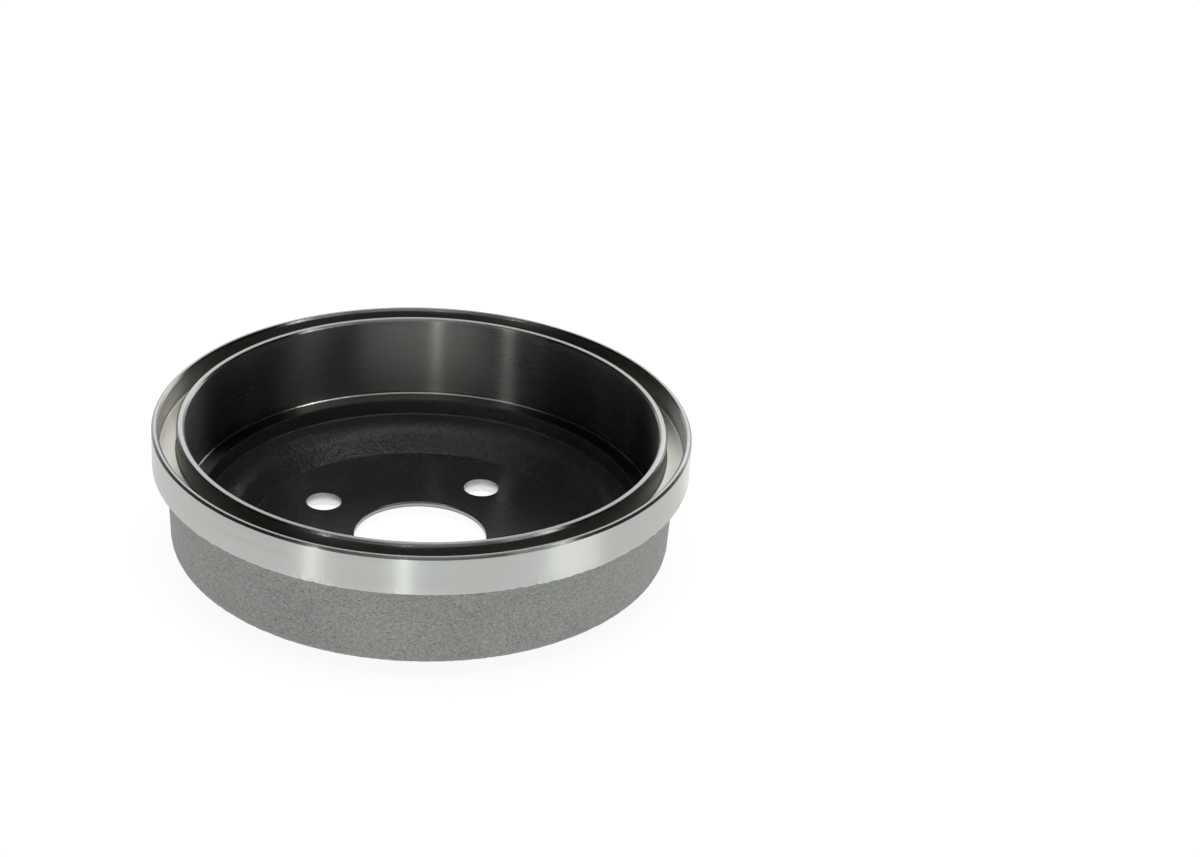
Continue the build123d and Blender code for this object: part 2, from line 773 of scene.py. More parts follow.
class GroupShader(Shader):
    """A shared node group being wired, with the sockets that it is given and puts out."""

    def __init__(self, name: str, inputs: tuple[str, ...], outputs: tuple[str, ...]) -> None:
        """Start a node group.

        Args:
            name: The group's name.
            inputs: Names of the numbers that it takes.
            outputs: Names of the numbers that it puts out.
        """
        super().__init__(bpy.data.node_groups.new(name, "ShaderNodeTree"))
        sockets = [(label, "INPUT") for label in inputs] + [(label, "OUTPUT") for label in outputs]
        for label, way in sockets:
            self.tree.interface.new_socket(label, in_out=way, socket_type="NodeSocketFloat")
        self.given = self.node("NodeGroupInput").outputs
        self.put = self.node("NodeGroupOutput").inputs


class SurfaceShader(Shader):
    """A new material being wired, with the inputs of its surface."""

    def __init__(self, name: str) -> None:
        """Start a material.

        Args:
            name: The material's name.
        """
        self.material = bpy.data.materials.new(name)
        self.material.use_nodes = True
        super().__init__(self.material.node_tree)
        self.surface = self.tree.nodes["Principled BSDF"].inputs

    def shared(self, group: bpy.types.NodeTree, **values: float) -> bpy.types.NodeOutputs:
        """Add a shared group.

        Args:
            group: The group.
            values: The numbers that it takes.

        Returns:
            Its outputs.
        """
        made = self.node("ShaderNodeGroup", node_tree=group)
        for label, value in values.items():
            self.link(value, made.inputs[label])
        return made.outputs

    def relief(self, height: bpy.types.NodeSocket, depth: float) -> None:
        """Bump the surface by height x depth.

        Args:
            height: The height's socket.
            depth: The depth, in metres.
        """
        bump = self.node("ShaderNodeBump")
        self.link(depth, bump.inputs["Distance"])
        self.link(height, bump.inputs["Height"])
        self.link(bump.outputs[0], self.surface["Normal"])


@dataclass(frozen=True)
class TurnedMarks:
    """The node group for marks that a lathe tool leaves round the axis.

    Attributes:
        slant: Weight of the radius against the height in the place across the marks.
        along: Fineness along the marks, in cycles to the metre.
        wide: Fineness of the wide marks against the fine ones.
        waver: Height of the wide marks against the fine ones.
        wide_share: Share of the wide marks in the tone.
        tone_range: Levels between which the tone goes from 0 to 1.
        stain_scale: Fineness of the stains, in cycles to the metre.
        stain_range: Levels between which a stain goes from 0 to 1.
        rough: Strength of each octave of the marks against the one before.
    """

    slant: float = 1.37
    along: float = 14.0
    wide: float = 0.22
    waver: float = 0.35
    wide_share: float = 0.6
    tone_range: tuple[float, float] = (0.3, 0.7)
    stain_scale: float = 22.0
    stain_range: tuple[float, float] = (0.42, 0.7)
    rough: float = 0.6

    def build(self) -> bpy.types.NodeTree:
        """Wire the group, which takes Feed, the fineness across the marks.

        The place across the marks is slant x distance from the axis + height, so it grows
        along walls, flats and chamfers alike. Noise is read at (x, y) slowly and across the
        marks fast, which draws it out into rings.

        Returns:
            The group, with the outputs Height, Tone and Stain.
        """
        shader = GroupShader("turned_marks", ("Feed",), ("Height", "Tone", "Stain"))
        place, (x, y, z) = shader.place()
        squares = shader.math("ADD", shader.math("MULTIPLY", x, x), shader.math("MULTIPLY", y, y))
        across = shader.math("MULTIPLY_ADD", shader.math("SQRT", squares), self.slant, z)
        slow = [shader.math("MULTIPLY", axis, self.along) for axis in (x, y)]

        def rings(feed: object) -> bpy.types.NodeSocket:
            """Return coordinates that run slowly along the marks and fast across them."""
            return shader.joined(*slow, shader.math("MULTIPLY", across, feed))

        feed = shader.given["Feed"]
        fine = shader.noise(rings(feed), 1.0, 2.0, self.rough)
        wide = shader.noise(rings(shader.math("MULTIPLY", feed, self.wide)), 1.0, 3.0, self.rough)
        shader.link(shader.math("MULTIPLY_ADD", wide, self.waver, fine), shader.put["Height"])
        tone = shader.blend(1.0 - self.wide_share, fine, wide)
        shader.link(shader.spread(tone, *self.tone_range), shader.put["Tone"])
        stain = shader.noise(place, self.stain_scale, 4.0, 0.55)
        shader.link(shader.spread(stain, *self.stain_range), shader.put["Stain"])
        return shader.tree


@dataclass(frozen=True)
class CastGrain:
    """The node group for the finest grain of a cast skin, below what the mesh carries.

    Attributes:
        coarse: Fineness of the coarse grain against the fine grain.
        coarse_share: Share of the coarse grain in the height.
        tone_range: Heights between which the tone goes from 0 to 1.
        pit_scale: Fineness of the pits' cell pattern, in cycles to the metre.
        pit_range: Distances from a cell's middle, in cells, between which a pit fades out.
        pit_patches: Fineness of the noise that lets pits show, in cycles to the metre.
        fleck: Fineness of the flecks against the fine grain.
        fleck_flat: How much further than the grain the flecks are drawn out level.
        fleck_range: Levels between which a fleck fades out.
        cloud_scale: Fineness of the clouds, in cycles to the metre.
        cloud_range: Levels between which the clouds go from 0 to 1.
    """

    coarse: float = 0.52
    coarse_share: float = 0.45
    tone_range: tuple[float, float] = (0.36, 0.64)
    pit_scale: float = 330.0
    pit_range: tuple[float, float] = (0.07, 0.15)
    pit_patches: float = 60.0
    fleck: float = 0.8
    fleck_flat: float = 1.9
    fleck_range: tuple[float, float] = (0.31, 0.39)
    cloud_scale: float = 26.0
    cloud_range: tuple[float, float] = (0.35, 0.68)

    def build(self) -> bpy.types.NodeTree:
        """Wire the group, which takes Grain, Flat and Pitting.

        Grain is two noises, one about twice as coarse as the other, drawn out level by Flat.
        Pits are the middles of a sparse cell pattern where a slow noise lets them show, and
        Flecks are the deepest hollows of a noise that is drawn out further still.

        Returns:
            The group, with the outputs Height, Tone, Pits, Flecks and Cloud.
        """
        outputs = ("Height", "Tone", "Pits", "Flecks", "Cloud")
        shader = GroupShader("cast_grain", ("Grain", "Flat", "Pitting"), outputs)
        given, put = shader.given, shader.put
        place, (x, y, z) = shader.place()

        def drawn_out(times: float) -> bpy.types.NodeSocket:
            """Return the place with its height stretched, so that a noise there lies level."""
            tall = shader.math("MULTIPLY", given["Flat"], times)
            return shader.joined(x, y, shader.math("MULTIPLY", z, tall))

        level = drawn_out(1.0)
        fine = shader.noise(level, given["Grain"], 1.0, 0.6)
        coarse_scale = shader.math("MULTIPLY", given["Grain"], self.coarse)
        height = shader.blend(self.coarse_share, shader.noise(level, coarse_scale, 1.0), fine)
        shader.link(height, put["Height"])
        # Tone follows the relief's height: partly the grain's own tone, partly painted shade in its
        # hollows and painted light on its tops.
        shader.link(shader.spread(height, *self.tone_range), put["Tone"])

        cells = shader.node("ShaderNodeTexVoronoi", feature="F1")
        shader.link(level, cells.inputs["Vector"])
        shader.link(self.pit_scale, cells.inputs["Scale"])
        near = shader.spread(cells.outputs["Distance"], *self.pit_range, 1.0, 0.0)
        least = shader.math("SUBTRACT", 1.0, given["Pitting"])
        allowed = shader.math("GREATER_THAN", shader.noise(place, self.pit_patches), least)
        shader.link(shader.math("MULTIPLY", near, allowed), put["Pits"])

        fleck_scale = shader.math("MULTIPLY", given["Grain"], self.fleck)
        hollows = shader.noise(drawn_out(self.fleck_flat), fleck_scale, 2.0, 0.65)
        shader.link(shader.spread(hollows, *self.fleck_range, 1.0, 0.0), put["Flecks"])
        cloud = shader.noise(place, self.cloud_scale, 3.0, 0.55)
        shader.link(shader.spread(cloud, *self.cloud_range), put["Cloud"])
        return shader.tree


# --------------------------------------------------------------------------- finishes


Colour = tuple[float, float, float, float]


def grey(red: float, green: float, blue: float) -> Colour:
    """Return an opaque linear colour."""
    return (red, green, blue, 1.0)


WHITE = grey(1.0, 1.0, 1.0)


@dataclass(frozen=True)
class TurnedIron:
    """Bare iron with the rings that a lathe tool leaves.

    Attributes:
        light: Colour on the ridges.
        dark: Colour in the furrows and stains.
        roughness: Lowest and highest roughness.
        depth: Depth of the marks, in metres.
        feed: Fineness of the marks, in cycles to the metre.
        stretch: How far a highlight is drawn out across the marks.
        stain: Strength of the stains.
        bloom: Colour that the stains leave, on top of the marks.
        across: Turns from the direction of the marks to that of the highlight.
    """

    light: Colour
    dark: Colour
    roughness: tuple[float, float]
    depth: float
    feed: float = 2600.0
    stretch: float = 1.0
    stain: float = 0.25
    bloom: Colour | None = None
    across: float = 0.25

    def build(self, name: str, groups: dict[str, bpy.types.NodeTree]) -> bpy.types.Material:
        """Wire the material.

        Args:
            name: The material's name.
            groups: The shared node groups by name.

        Returns:
            The material.
        """
        shader = SurfaceShader(name)
        surface = shader.surface
        marks = shader.shared(groups["turned_marks"], Feed=self.feed)
        furrows = shader.math("SUBTRACT", 1.0, marks["Tone"])
        stained = shader.math("MULTIPLY", marks["Stain"], self.stain)
        dull = shader.math("MAXIMUM", furrows, stained, clamp=True)
        colour = shader.mix(dull, self.light, self.dark)
        if self.bloom is not None:
            colour = shader.mix(marks["Stain"], colour, self.bloom)
        shader.link(colour, surface["Base Color"])
        shader.link(shader.spread(dull, 0.0, 1.0, *self.roughness), surface["Roughness"])
        shader.link(1.0, surface["Metallic"])
        shader.link(self.stretch, surface["Anisotropic"])
        shader.link(self.across, surface["Anisotropic Rotation"])
        tangent = shader.node("ShaderNodeTangent", direction_type="UV_MAP", uv_map="way")
        shader.link(tangent.outputs[0], surface["Tangent"])
        shader.relief(marks["Height"], self.depth)
        return shader.material


@dataclass(frozen=True)
class CastSurface:
    """Iron as the mould left it, under a thin coat.

    Attributes:
        low: Colour in the hollows, partly painted shade of the relief.
        high: Colour on the tops of the grain, partly painted light on the relief.
        pit: Colour in a pit.
        metallic: Share of bare metal in the look.
        roughness: Lowest and highest roughness.
        depth: Depth of the finest grain, in metres.
        pitting: Share of the skin where pits may show.
        sheen_level: Strength of the coat's plain reflection.
        grain: Fineness of the grain, in cycles to the metre.
        flat: How far the grain is drawn out level.
        flecks: Strength of the dark flecks.
        cloud_share: Share of the slow clouds in the colour, against the grain.
    """

    low: Colour
    high: Colour
    pit: Colour
    metallic: float
    roughness: tuple[float, float]
    depth: float
    pitting: float
    sheen_level: float
    grain: float
    flat: float
    flecks: float
    cloud_share: float = 0.25

    def build(self, name: str, groups: dict[str, bpy.types.NodeTree]) -> bpy.types.Material:
        """Wire the material.

        Args:
            name: The material's name.
            groups: The shared node groups by name.

        Returns:
            The material.
        """
        shader = SurfaceShader(name)
        surface = shader.surface
        grain = shader.shared(
            groups["cast_grain"], Grain=self.grain, Flat=self.flat, Pitting=self.pitting
        )
        # The colour runs from low in the grain's hollows to high on its tops: partly its own tone,
        # partly painted shade and light of the relief. The clouds are random tone.
        share = shader.blend(self.cloud_share, grain["Cloud"], grain["Tone"])
        coat = shader.mix(share, self.low, self.high)
        flecks = shader.math("MULTIPLY", grain["Flecks"], self.flecks)
        hollow = shader.math("MAXIMUM", grain["Pits"], flecks)
        shader.link(shader.mix(hollow, coat, self.pit), surface["Base Color"])
        rough = shader.spread(grain["Cloud"], 0.0, 1.0, *self.roughness)
        shader.link(rough, surface["Roughness"])
        shader.link(self.metallic, surface["Metallic"])
        shader.link(self.sheen_level, surface["Specular IOR Level"])
        shader.relief(shader.math("SUBTRACT", grain["Height"], hollow), self.depth)
        return shader.material


RECIPES: dict[Zone, TurnedIron | CastSurface] = {
    Zone.BAND: TurnedIron(
        light=grey(0.695, 0.72, 0.69),
        dark=grey(0.65, 0.672, 0.642),
        roughness=(0.36, 0.39),
        depth=2.5e-6,
        stain=0.3,
        bloom=grey(0.70, 0.685, 0.66),
    ),
    Zone.LIP: TurnedIron(
        light=grey(0.67, 0.695, 0.685),
        dark=grey(0.58, 0.60, 0.59),
        roughness=(0.24, 0.29),
        depth=2e-6,
        feed=3000.0,
        stretch=0.9,
        stain=0.2,
    ),
    # Painted shade: the chamfers are darker than the lips that the same cut leaves.
    Zone.CHAMFER: TurnedIron(
        light=grey(0.36, 0.376, 0.37),
        dark=grey(0.30, 0.31, 0.305),
        roughness=(0.23, 0.27),
        depth=1.5e-6,
        feed=3000.0,
        stain=0.2,
    ),
    # Partly the wall's own warm tone, partly painted shade: it is darker than the turned band, for
    # the dark inside of the cup.
    Zone.FRICTION: TurnedIron(
        light=grey(0.33, 0.327, 0.312),
        dark=grey(0.302, 0.298, 0.285),
        roughness=(0.27, 0.284),
        depth=1.6e-6,
        feed=4000.0,
        stain=0.3,
    ),
    # Painted shade: the ledge is darker than the friction wall above it, for the shade at the
    # wall's foot.
    Zone.LEDGE: TurnedIron(
        light=grey(0.20, 0.185, 0.168),
        dark=grey(0.14, 0.129, 0.116),
        roughness=(0.34, 0.44),
        depth=5e-6,
        feed=3000.0,
    ),
    # Painted shade: the groove's walls are darker than the lips, and the floor below is a lighter
    # copy of the same cut iron.
    Zone.GROOVE: TurnedIron(
        light=grey(0.38, 0.365, 0.34),
        dark=grey(0.29, 0.275, 0.255),
        roughness=(0.30, 0.40),
        depth=6e-6,
        stretch=0.8,
    ),
    # Painted light: the groove's floor is lighter than any other turned iron here, for the light
    # that falls on it.
    Zone.GROOVE_FLOOR: TurnedIron(
        light=grey(0.90, 0.90, 0.83),
        dark=grey(0.79, 0.775, 0.71),
        roughness=(0.28, 0.36),
        depth=6e-6,
        stretch=0.7,
    ),
    Zone.SKIN: CastSurface(
        low=grey(0.22, 0.228, 0.217),
        high=grey(0.43, 0.445, 0.42),
        pit=grey(0.08, 0.082, 0.078),
        metallic=0.25,
        roughness=(0.5, 0.62),
        depth=0.00024,
        pitting=0.45,
        sheen_level=0.5,
        grain=1350.0,
        flat=1.6,
        flecks=0.7,
    ),
    Zone.COATING: CastSurface(
        low=grey(0.004, 0.004, 0.004),
        high=grey(0.0155, 0.0152, 0.0155),
        pit=grey(0.003, 0.003, 0.003),
        metallic=0.0,
        roughness=(0.38, 0.47),
        depth=0.00032,
        pitting=0.30,
        sheen_level=1.0,
        grain=900.0,
        flat=1.0,
        flecks=0.3,
    ),
    Zone.BORE: TurnedIron(
        light=grey(0.41, 0.425, 0.44),
        dark=grey(0.33, 0.34, 0.355),
        roughness=(0.30, 0.38),
        depth=3e-6,
        stretch=0.6,
        stain=0.15,
    ),
    # Painted light: the drilled walls are near white, far lighter than the same drilled iron of the
    # bore, for the white light seen through the holes.
    Zone.HOLE: TurnedIron(
        light=grey(0.95, 0.955, 0.96),
        dark=grey(0.88, 0.885, 0.89),
        roughness=(0.62, 0.68),
        depth=1e-6,
        stretch=0.0,
        stain=0.1,
    ),
    Zone.FACE: TurnedIron(
        light=grey(0.69, 0.705, 0.69),
        dark=grey(0.58, 0.59, 0.575),
        roughness=(0.30, 0.40),
        depth=8e-6,
        feed=2200.0,
        stretch=0.8,
    ),
}


def build_finishes() -> dict[Zone, bpy.types.Material]:
    """Build the shared groups and every finish, and return the material of each zone."""
    groups = {"turned_marks": TurnedMarks().build(), "cast_grain": CastGrain().build()}
    return {zone: recipe.build(zone.value, groups) for zone, recipe in RECIPES.items()}


# --------------------------------------------------------------------------- the drum


def settle(piece: bpy.types.Object) -> bpy.types.Object:
    """Make a finished piece ride on the drum's body, in the place of the CAD node.

    Args:
        piece: The piece.

    Returns:
        The same piece.
    """
    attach(piece, BODY)
    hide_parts(NODE)
    return piece


@dataclass
class Ring:
    """A closed ring of the drum, made from a walk round part of its section.

    Attributes:
        name: The piece's name.
        columns: Columns round the axis.
        sizes: The drum's sizes.
    """

    name: str
    columns: int
    sizes: DrumSizes = SIZES

    def walk(self) -> Walk:
        """Return the closed walk that the ring is made from."""
        raise NotImplementedError

    def build(self, finishes: dict[Zone, bpy.types.Material]) -> bpy.types.Object:
        """Build the ring with its finishes and settle it on its body."""
        return settle(revolve_walk(self.name, self.walk(), self.columns, finishes))


@dataclass
class TurnedRim(Ring):
    """Everything the lathe cuts at the open end: band, lips, groove, friction wall, ledge.

    Attributes:
        edge: Radius of the edges that the tool leaves, in millimetres.
        rag: How far the band's lower edge and the ledge's edge wander, in millimetres.
        groove_round: Radius of the groove's corners, in millimetres.
        ledge_round: Radius of the edges at the foot of the friction wall, in millimetres.
        brink_round: Radius of the two ragged edges, in millimetres.
        behind: Depth of the hidden side behind the friction wall, in millimetres.
        below: Depth of the hidden side below the ledge, in millimetres.
    """

    name: str = "turned_rim"
    columns: int = 990
    edge: float = 0.12
    rag: float = 0.55
    groove_round: float = 0.5
    ledge_round: float = 0.1
    brink_round: float = 0.05
    behind: float = 4.0
    below: float = 1.6

    def walk(self) -> Walk:
        """Walk up the band, over the lips, down to the ledge and back inside the iron.

        Returns:
            The closed walk.
        """
        s = self.sizes
        lip, edge, brink = s.lip_chamfer, self.edge, self.brink_round
        groove = {"round": self.groove_round, "arc_rows": 5}
        down, inward = (0.0, self.rag), (self.rag, 0.0)
        return Walk.through(
            [
                # The band, from its ragged lower edge
                Corner(s.band - 0.02, s.band_foot + 0.15, Zone.BAND, brink, 0.6, rag=down),
                Corner(s.band, s.band_foot + 3.0, Zone.BAND, step=3.0),
                # The open edge: outer lip, groove and inner lip
                Corner(s.band, s.height - lip, Zone.CHAMFER, edge),
                Corner(s.band - lip, s.height, Zone.LIP, edge),
                Corner(s.groove_outer + lip, s.height, Zone.CHAMFER, edge),
                Corner(s.groove_outer, s.height - lip, Zone.GROOVE, edge),
                Corner(s.groove_outer, s.groove_floor, Zone.GROOVE_FLOOR, **groove),
                Corner(s.groove_inner, s.groove_floor, Zone.GROOVE, **groove),
                Corner(s.groove_inner, s.height - lip, Zone.CHAMFER, edge),
                Corner(s.groove_inner - lip, s.height, Zone.LIP, edge),
                # The friction wall and the bevel at its foot
                Corner(s.friction + s.friction_chamfer, s.height, Zone.CHAMFER, edge),
                Corner(s.friction, s.height - s.friction_chamfer, Zone.FRICTION, edge),
                Corner(s.friction, s.ledge + s.foot_chamfer, Zone.LIP, self.ledge_round),
                # The ledge, to its ragged inner edge
                Corner(s.friction - s.foot_chamfer, s.ledge, Zone.LEDGE, self.ledge_round, 2.0),
                Corner(s.ledge_inner + 2.0, s.ledge, Zone.LEDGE, step=0.7),
                Corner(s.ledge_inner + 0.25, s.ledge - 0.02, Zone.LEDGE, brink, rag=inward),
                # The hidden side
                Corner(s.ledge_inner + 2.5, s.ledge - self.below, Zone.LEDGE),
                Corner(s.friction + self.behind, s.ledge - self.below, Zone.LEDGE),
                Corner(s.friction + self.behind, s.band_root - 0.5, Zone.LEDGE),
                Corner(s.wall_top, s.band_root + 1.0, Zone.LEDGE),
                Corner(s.band - 1.2, s.band_foot + 0.7, Zone.LEDGE),
            ]
        )


@dataclass
class CastRing(Ring):
    """A ring that is left as cast where it shows.

    Attributes:
        zone: Finish of the skin.
        step: Distance between rows where the ring shows, in millimetres.
        grain: Depth of the relief, in millimetres.
        long_step: Distance between rows on the longest hidden runs, in millimetres.
    """

    zone: Zone = Zone.SKIN
    step: float = 0.6
    grain: float = 0.16
    long_step: float = 9.0

    def skin(self, radius: float, height: float, **more: float) -> Corner:
        """Return a corner where the skin shows, with fine rows and relief."""
        return Corner(radius, height, self.zone, **{"step": self.step, "grain": self.grain, **more})

    def back(self, radius: float, height: float, **more: float) -> Corner:
        """Return a corner on the hidden side, plain and with coarse rows."""
        return Corner(radius, height, self.zone, **more)


@dataclass
class CastWall(CastRing):
    """The cast outside of the cup, from under the band to the rounded foot.

    Attributes:
        lap: How far in and down from the foot the skin runs on, in millimetres.
        root_round: Radius of the corner under the band, in millimetres.
        band_round: Radius of the cast corner below the band, in millimetres.
    """

    name: str = "cast_wall"
    columns: int = 1040
    step: float = 0.58
    lap: tuple[float, float] = (5.0, 0.71)
    root_round: float = 1.2
    band_round: float = 0.5

    def walk(self) -> Walk:
        """Walk round the foot, up the wall, out to the band and back inside the iron.

        Returns:
            The closed walk.
        """
        s = self.sizes
        inner = s.wall_low - self.lap[0]
        skin, back, grain = self.skin, self.back, self.grain
        return Walk.through(
            [
                skin(inner, s.wall_foot - self.lap[1]),
                skin(s.wall_low, s.wall_foot, round=s.wall_corner, arc_rows=14),
                skin(s.wall_top, s.band_root, round=self.root_round, arc_rows=4),
                # The relief fades towards the turned band
                skin(s.band - 0.9, s.band_foot - 0.2, round=self.band_round, grain=0.6 * grain),
                skin(s.band - 0.16, s.band_foot + 0.35, grain=0.5 * grain),
                # The hidden side
                back(s.band - 0.35, s.band_foot + 1.4),
                back(s.band - 2.0, s.band_foot + 1.4),
                back(s.wall_top - 2.5, s.band_root + 0.4, step=self.long_step),
                back(inner, s.wall_foot + 3.0),
            ]
        )


@dataclass
class CastUnderside(CastRing):
    """The cast ring under the cup, from the rounded foot in, and the wheel face's outer ring.

    Attributes:
        overlap: How far inside the slope's foot the ring meets the plate, in millimetres.
        lap: How far in and down from the wall's foot the skin ends, in millimetres.
        step_round: Radius of the corner at the top of the wheel face's step, in millimetres.
        thick: Height of the hidden side over the underside, in millimetres.
    """

    name: str = "cast_underside"
    columns: int = 1000
    step: float = 0.65
    overlap: float = 1.6
    lap: tuple[float, float] = (4.6, 0.66)
    step_round: float = 2.0
    thick: float = 2.0

    def walk(self) -> Walk:
        """Walk out along the wheel face, up to the wall's foot and back inside the iron.

        Returns:
            The closed walk.
        """
        s = self.sizes
        inner, outer = s.web_edge - self.overlap, s.wall_low - self.lap[0]
        step_top = (s.wheel_face + s.step, s.step)
        return Walk.through(
            [
                # The outer ring of the wheel face, and its edge
                Corner(inner, 0.0, Zone.FACE, step=1.5),
                Corner(s.wheel_face - 0.02, 0.0, Zone.FACE),
                self.skin(s.wheel_face + 0.1, 0.12, grain=0.05),
                # The step and the cast slope
                self.skin(*step_top, round=self.step_round, arc_rows=5),
                self.skin(outer, s.wall_foot - self.lap[1]),
                # The hidden side
                self.back(outer, s.wall_foot + self.thick),
                self.back(s.wheel_face - 2.0, s.wall_foot + self.thick),
                self.back(inner, s.web - self.thick),
            ]
        )


@dataclass
class CastRecess(CastRing):
    """The black-coated cast inside: the wall under the ledge, the shoulder and its crown.

    Attributes:
        flash: Height of the stray iron along the foot of the recess, in millimetres.
        flash_step: Distance between rows round the foot of the recess, in millimetres.
        foot_round: Radius of the corner at the foot of the recess, in millimetres.
        brink_round: Radius of the corner under the ledge's edge, in millimetres.
        lap: How far in over the plate the coat runs on, in millimetres.
        behind: Depth of the hidden side, in millimetres.
    """

    name: str = "cast_recess"
    columns: int = 1180
    zone: Zone = Zone.COATING
    step: float = 0.5
    grain: float = 0.12
    flash: float = 0.9
    flash_step: float = 0.3
    foot_round: float = 0.8
    brink_round: float = 0.15
    lap: float = 2.4
    behind: float = 3.0

    def walk(self) -> Walk:
        """Walk down the recess, over the shoulder to the web and back inside the iron.

        Returns:
            The closed walk.
        """
        s = self.sizes
        inner, outer, fine = s.web_edge - self.lap, s.ledge_inner + self.behind, self.flash_step
        foot = {"round": self.foot_round, "lumps": self.flash, "step": fine, "arc_rows": 4}
        skin, back = self.skin, self.back
        return Walk.through(
            [
                # The wall under the ledge, and its foot
                skin(s.ledge_inner + 1.4, s.ledge - 0.12, grain=0.03),
                skin(s.ledge_inner - 0.05, s.ledge - 0.25, round=self.brink_round),
                skin(s.recess_foot + 0.1, s.shoulder + 1.2, step=fine),
                skin(s.recess_foot, s.shoulder, **foot),
                # The shoulder, its crown, and the slope down to the web
                skin(s.recess_foot - 1.3, s.shoulder),
                skin(s.shoulder_edge, s.shoulder, round=s.shoulder_corner, arc_rows=18),
                skin(s.web_edge, s.web, round=s.web_corner, arc_rows=5),
                back(inner, s.web, grain=self.grain),
                # The hidden side
                back(inner, s.web - 1.6),
                back(s.shoulder_edge, s.web - 1.0, step=self.long_step),
                back(outer, s.shoulder - self.behind, step=self.long_step),
                back(outer, s.ledge - 1.2),
            ]
        )


@dataclass
class Web:
    """The plate between the cup and the hub, with its bore, bolt holes and locating hole.

    It is one closed mesh. The inner face is a polar grid, and the lower face repeats it.

    Attributes:
        name: The piece's name.
        sizes: The drum's sizes.
        columns: Columns round the axis.
        rows: Rows from the bore to the plate's edge.
        grain: Depth of the relief on the inner face, in millimetres.
        grain_size: Scale of that relief, where 1 is the outside of the cup.
        overlap: How far the plate's edge stops short of the slope's foot, in millimetres.
        give: Width round a hole in which the grid moves out for its chamfer, in millimetres.
    """

    name: str = "web"
    sizes: DrumSizes = SIZES
    columns: int = 856
    rows: int = 60
    grain: float = 0.10
    grain_size: float = 0.8
    overlap: float = 1.6
    give: float = 2.0

    def holes(self) -> np.ndarray:
        """Place the bolt holes evenly from +X, and the locating hole between the first two.

        Returns:
            The (x, y, radius) of each hole in millimetres, with the locating hole last.
        """
        s = self.sizes
        angle = np.arange(s.bolts) * (FULL_TURN / s.bolts)
        angle = np.append(angle, math.pi / s.bolts)
        radius = np.append(np.full(s.bolts, s.bolt_hole), s.locating_hole)
        return np.stack(
            (s.bolt_circle * np.cos(angle), s.bolt_circle * np.sin(angle), radius), axis=1
        )

    def numbers(self) -> np.ndarray:
        """Return the number of each grid point, (columns, rows)."""
        return np.arange(self.columns * self.rows).reshape(self.columns, self.rows)

    def drilled_grid(self, ring: np.ndarray) -> tuple[np.ndarray, np.ndarray, np.ndarray]:
        """Return the polar grid with its points moved out of the holes.

        A point inside a hole moves along its line from the hole's middle to the circle. On
        the wheel face it then moves out by the chamfer, and its neighbours by chamfer x
        (1 - distance from the circle / give).

        Args:
            ring: Radius of each row, in millimetres.

        Returns:
            The (x, y) of the points on the inner face, the same on the wheel face, and
            whether each point was inside a hole.
        """
        angle = np.arange(self.columns) * (FULL_TURN / self.columns)
        radius = np.broadcast_to(ring, (self.columns, self.rows))
        flat = polar(radius, angle[:, None], np.zeros_like(radius))[..., :2]
        spread = flat.copy()
        inside_any = np.zeros(radius.shape, bool)
        for x, y, size in self.holes():
            away = flat - (x, y)
            gap = np.linalg.norm(away, axis=-1)
            inside = gap < size
            inside_any |= inside
            out = away / np.maximum(gap, np.finfo(np.float32).eps)[..., None]
            flat = np.where(inside[..., None], out * size + (x, y), flat)
            push = self.sizes.hole_chamfer * np.clip(1.0 - (gap - size) / self.give, 0.0, 1.0)
            spread = np.where(inside[..., None], flat, spread) + out * push[..., None]
        return flat, spread, inside_any

    def points(self, flat: np.ndarray, spread: np.ndarray, step_row: int) -> np.ndarray:
        """Return every point that the plate may use, in millimetres.

        Args:
            flat: The (x, y) of the grid on the inner face.
            spread: The (x, y) of the grid on the wheel face.
            step_row: Number of the row at the relief's wall.

        Returns:
            The grid on the inner face, on the lower face, and at the top of the holes'
            chamfers, and then the ring where the relief's wall meets the wheel face.
        """
        s = self.sizes
        level = np.zeros((self.columns, self.rows, 1))
        upper = np.concatenate((flat, level + s.web), axis=-1).reshape(-1, 3)
        upper[:, 2] += SAND.height(upper, self.grain_size) * self.grain
        lower = np.concatenate((spread, level), axis=-1)
        lower[:, : step_row + 1, 2] = s.bore_foot
        lower = lower.reshape(-1, 3)
        rim = lower[self.numbers()[:, step_row]] * (1.0, 1.0, 0.0)
        brink = upper.copy()
        brink[:, 2] = s.hole_chamfer
        return np.concatenate((upper, lower, brink, rim))

    def faces(self, inside_any: np.ndarray, step_row: int) -> list[tuple[np.ndarray, Zone]]:
        """Return the plate's faces, as quads of point numbers with their finishes.

        Cells whose points were all inside a hole are left out. The lower face repeats the
        rest turned over, from the relief's wall outwards with the ring at the wheel face.
        Every edge that only one face of the inner side uses has a wall down to the same edge
        below, and a hole's wall stops at its chamfer, which widens down to the wheel face.

        Args:
            inside_any: Whether each grid point was inside a hole, (columns, rows).
            step_row: Number of the row at the relief's wall.

        Returns:
            The faces of each part of the plate.
        """
        number, count = self.numbers(), self.columns * self.rows
        turned = np.roll(np.arange(self.columns), -1)

        # The inner face, less the cells in the holes
        column, row = np.meshgrid(np.arange(self.columns), np.arange(self.rows - 1), indexing="ij")
        after = turned[column]
        cell = np.stack(
            (
                number[column, row],
                number[column, row + 1],
                number[after, row + 1],
                number[after, row],
            ),
            axis=-1,
        )
        keep = ~inside_any.ravel()[cell].all(axis=-1)
        top = cell[keep]

